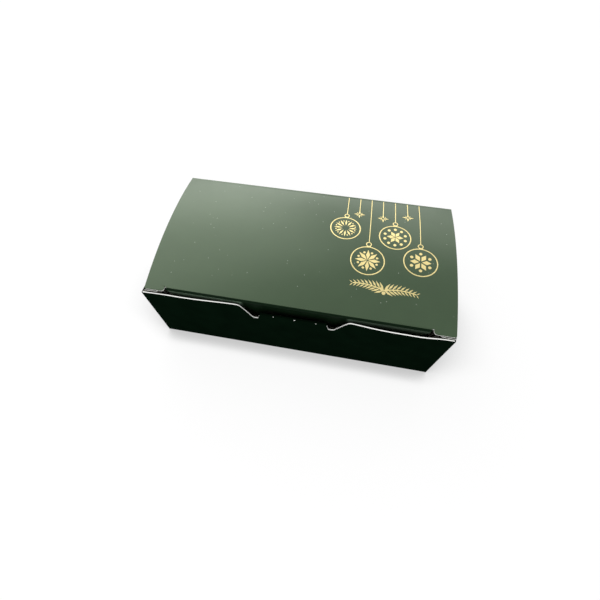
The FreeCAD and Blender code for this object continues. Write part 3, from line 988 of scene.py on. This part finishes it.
def sprig_half(graph, given):
    ends = {
        "Resolution": STEM_STEPS,
        "Start": (0.0, 0.0, 0.0),
        "Middle": vector(graph, given["Reach"] * 0.5, given["Droop"]),
        "End": vector(graph, given["Reach"], given["Droop"] * TIP_DROOP_SHARE),
    }
    stem = graph.node("GeometryNodeCurveQuadraticBezier", None, ends)
    points = graph.node("GeometryNodeResampleCurve", None, {"Curve": stem, "Count": given["Needles"]})
    facing = turned_to(graph, graph.node("GeometryNodeInputTangent"))
    share = graph.node("GeometryNodeSplineParameter", out="Factor")
    needle = plate(graph, CORNERS_OF_RAY, given["Needle length"], given["Needle width"])
    needle = moved(graph, needle, Translation=vector(graph, given["Needle length"] * 0.5))
    size = 1 - share * (1 - TIP_SHARE)
    parts = [tube(graph, stem, given["Line"])]
    for side in (1, -1):
        flat = vector(graph, size, size, 1.0)
        sockets = {"Points": points, "Instance": needle, "Rotation": facing, "Scale": flat}
        row = graph.node("GeometryNodeInstanceOnPoints", None, sockets)
        splayed = {"Instances": row, "Rotation": vector(graph, z=given["Splay"] * side)}
        parts.append(graph.node("GeometryNodeRotateInstances", None, splayed))
    half = graph.node("GeometryNodeJoinGeometry", None, {"Geometry": parts})
    return graph.node("GeometryNodeRealizeInstances", None, {"Geometry": half})


def sprig_tree():
    graph, given = geometry_tree("sprig", SPRIG_INPUTS)
    half = sprig_half(graph, given)
    other = moved(graph, half, Rotation=(0, math.pi, 0))
    berry = plate(graph, CORNERS_OF_DOT, given["Berry"], given["Berry"])
    ring = given["Berry"] * BERRY_RING_SHARE
    berries = ring_of(graph, berry, BERRIES, ring, math.pi / (2 * BERRIES))
    whole = graph.node("GeometryNodeJoinGeometry", None, {"Geometry": [half, other, berries]})
    place = vector(graph, given["Across"], given["Along"])
    whole = moved(graph, whole, Translation=place, Rotation=vector(graph, z=given["Tilt"]))
    laid_on_lid(graph, whole, FOIL)
    return graph


sprig = made_by(sprig_tree(), "sprig", {
    "Across": 38 * MM, "Along": -19.5 * MM, "Tilt": math.radians(-3),
    "Reach": 14 * MM, "Droop": 2.4 * MM, "Line": LINE,
    "Needles": 9, "Needle length": 4.6 * MM, "Needle width": 1.0 * MM, "Splay": math.radians(42),
    "Berry": 1.7 * MM,
})
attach(sprig, "lid")

# %% [markdown]
# ## Nicks on the lock tab's fold
# The lock tab is scored so that it folds sharply, and where the score bites through the print the white
# core shows as three short nicks. They sit on the fold's ridge.

# %% Nicks
NICK_COUNT = 3
NICK_GAP = 9.8 * MM
NICK_FIRST = -9.0 * MM
NICK_SEGMENTS, NICK_RINGS = 12, 8
NICK_SEED = 23
# The smallest nick as a share of the largest, and the nicks' height on the ridge as a share of its radius.
NICK_SMALLEST = 0.55
NICK_SINK_SHARE = 0.8


def nick_tree():
    graph, given = geometry_tree("nicks", {"Count": NICK_COUNT, "Gap": 0.0, "Length": 0.0, "Width": 0.0})
    sockets = {"Count": given["Count"], "Offset": vector(graph, given["Gap"])}
    line = graph.node("GeometryNodeMeshLine", None, sockets)
    sockets = {"Segments": NICK_SEGMENTS, "Rings": NICK_RINGS, "Radius": 0.5}
    grain = graph.node("GeometryNodeMeshUVSphere", None, sockets)
    grain = moved(graph, grain, Scale=vector(graph, given["Length"], given["Width"], given["Width"]))
    # Sockets 2 and 3 of a Random Value node are its least and its greatest number.
    least_and_most = {2: NICK_SMALLEST, 3: 1.0, "Seed": NICK_SEED}
    size = graph.node("FunctionNodeRandomValue", {"data_type": "FLOAT"}, least_and_most, out=1)
    sockets = {"Points": line, "Instance": grain, "Scale": size}
    row = graph.node("GeometryNodeInstanceOnPoints", None, sockets)
    row = graph.node("GeometryNodeRealizeInstances", None, {"Geometry": row})
    handed_out(graph, row, CUT_EDGE)
    return graph


nicks = made_by(nick_tree(), "score_nicks", {
    "Count": NICK_COUNT, "Gap": NICK_GAP, "Length": 1.0 * MM, "Width": 0.36 * MM,
})
TAB_FOLD = FOLDS["lock_tab_fold"]
RIDGE_OUT = (FRONT + UP).normalized() * RIDGE
nick_start = TAB_FOLD + RIDGE_OUT * NICK_SINK_SHARE + RIGHT * (NICK_FIRST - TAB_FOLD.x)
nicks.data.transform(Matrix.Translation(nick_start))
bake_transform(nicks)

# %% [markdown]
# ## Floor and light
# A pale floor that the camera sees whiter than it is, as in a cut-out product picture, while the light that
# it throws back stays that of a plain floor. The box's broad shadow shows faintly on it, and a close,
# darker one where the box itself hides the light from the floor.

# %% Floor
FLOOR_DROP = 0.05 * MM
FLOOR_SIZE = 3.0
FLOOR_WHITE = linear(250, 250, 250)
WHITER_SHARE = 0.85
# The close shadow is darkest where half of the sky is hidden, as it is at the foot of a wall.
CLOSE_SHADE = 0.42
DARKEST_AT = 0.5
# Its reach, and how much longer that is beside the box, where the walls hide its nearest part from view.
CLOSE_REACH = 10 * MM
BESIDE_REACH = 28 * MM
BESIDE_FRONT = -46 * MM, -26 * MM
BESIDE_BACK = 35 * MM, -10 * MM


def close_shadow(graph):
    """How bright the floor looks, from the share of the sky that it sees past the box."""
    spot = graph.node("ShaderNodeNewGeometry", out="Position")
    y = graph.node("ShaderNodeSeparateXYZ", None, {0: spot}, out="Y")
    reach = CLOSE_REACH + graph.ramp(y, *BESIDE_FRONT) * graph.ramp(y, *BESIDE_BACK) * BESIDE_REACH
    open_share = graph.node("ShaderNodeAmbientOcclusion", None, {"Distance": reach}, out="AO")
    return (1 - CLOSE_SHADE) + graph.ramp(open_share, DARKEST_AT, 1.0) * CLOSE_SHADE


def floor_finish():
    constants = {"Base Color": FLOOR_WHITE, "Roughness": 0.9, "Specular IOR Level": 0.1}
    white = finish_of("pale_floor", constants)
    nodes = white.node_tree.nodes
    graph = Graph(white.node_tree)
    kinds = ("Camera", "Glossy", "Transmission")
    rays = [graph.node("ShaderNodeLightPath", out=f"Is {kind} Ray") for kind in kinds]
    seen = rays[0] + rays[1] + rays[2]
    glow = graph.node("ShaderNodeEmission", None, {"Color": close_shadow(graph), "Strength": 1.0})
    plain = Wire(graph, nodes["Principled BSDF"].outputs[0])
    whole = graph.node("ShaderNodeMixShader", None, {0: seen * WHITER_SHARE, 1: plain, 2: glow})
    graph.feed(nodes["Material Output"].inputs["Surface"], whole)
    return white


def floor():
    work = bmesh.new()
    bmesh.ops.create_grid(work, x_segments=1, y_segments=1, size=FLOOR_SIZE)
    for vert in work.verts:
        vert.co.z = -FLOOR_DROP
    white = floor_finish()
    piece_from(work, "floor", [white])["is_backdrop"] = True


floor()

# %% [markdown]
# Soft studio light: an even surround, four panels behind the box and a fill in front. The varnished lid
# mirrors the panels, which is what fades its green from the back left to the front right.

# %% Light
WORLD_LEVEL = 0.58
BOX_MIDDLE = Vector((0, 0, 30 * MM))
# Azimuth and elevation in degrees and distance in metres; width and height in metres; level.
PANELS = {
    "back_left_panel": ((-54, 46, 1.0), (1.3, 0.9), 1.28),
    "back_panel": ((-29, 30, 1.1), (0.85, 0.5), 1.35),
    "low_back_panel": ((-3, 17, 1.2), (0.8, 0.4), 1.8),
    "back_right_panel": ((21, 33, 1.2), (0.5, 0.54), 1.2),
    "front_panel": ((180, 42, 1.1), (1.6, 0.8), 1.4),
}


def softbox(name, spot, size, level):
    """A rectangular panel of even brightness; the level is what a mirror in its light would show."""
    data = bpy.data.lights.new(name, "AREA")
    data.shape = "RECTANGLE"
    data.size, data.size_y = size
    data.energy = level * math.pi * size[0] * size[1]
    lamp = bpy.data.objects.new(name, data)
    aim = (spot - BOX_MIDDLE).to_track_quat("Z", "Y")
    lamp.matrix_world = Matrix.Translation(spot) @ aim.to_matrix().to_4x4()
    lamp.visible_camera = False
    bpy.context.scene.collection.objects.link(lamp)
    print("light:", name, round(data.energy, 2), "W")


def around(azimuth, elevation, distance):
    """A place by its direction: azimuth 0 is behind the box, and positive is to the right."""
    turn, rise = math.radians(azimuth), math.radians(elevation)
    flat = distance * math.cos(rise)
    return Vector((flat * math.sin(turn), flat * math.cos(turn), distance * math.sin(rise)))


for name, (direction, size, level) in PANELS.items():
    softbox(name, around(*direction), size, level)
world = bpy.data.worlds.new("studio")
world.use_nodes = True
surround = world.node_tree.nodes["Background"].inputs
surround["Color"].default_value = (1, 1, 1, 1)
surround["Strength"].default_value = WORLD_LEVEL
bpy.context.scene.world = world
bpy.context.scene.view_settings.view_transform = "Standard"

# %% [markdown]
# ## The size
# The finished box should fill the space of the imported one, and this cell prints both sizes. Only the
# spread left corner and the front wall's belly stand out, by about a millimetre.

# %% Size and finish
boxes = {"cad": CAD_BOX, "visual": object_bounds()}
for name, (low, high) in boxes.items():
    print(name, [round(side / MM, 2) for side in high - low], "mm")
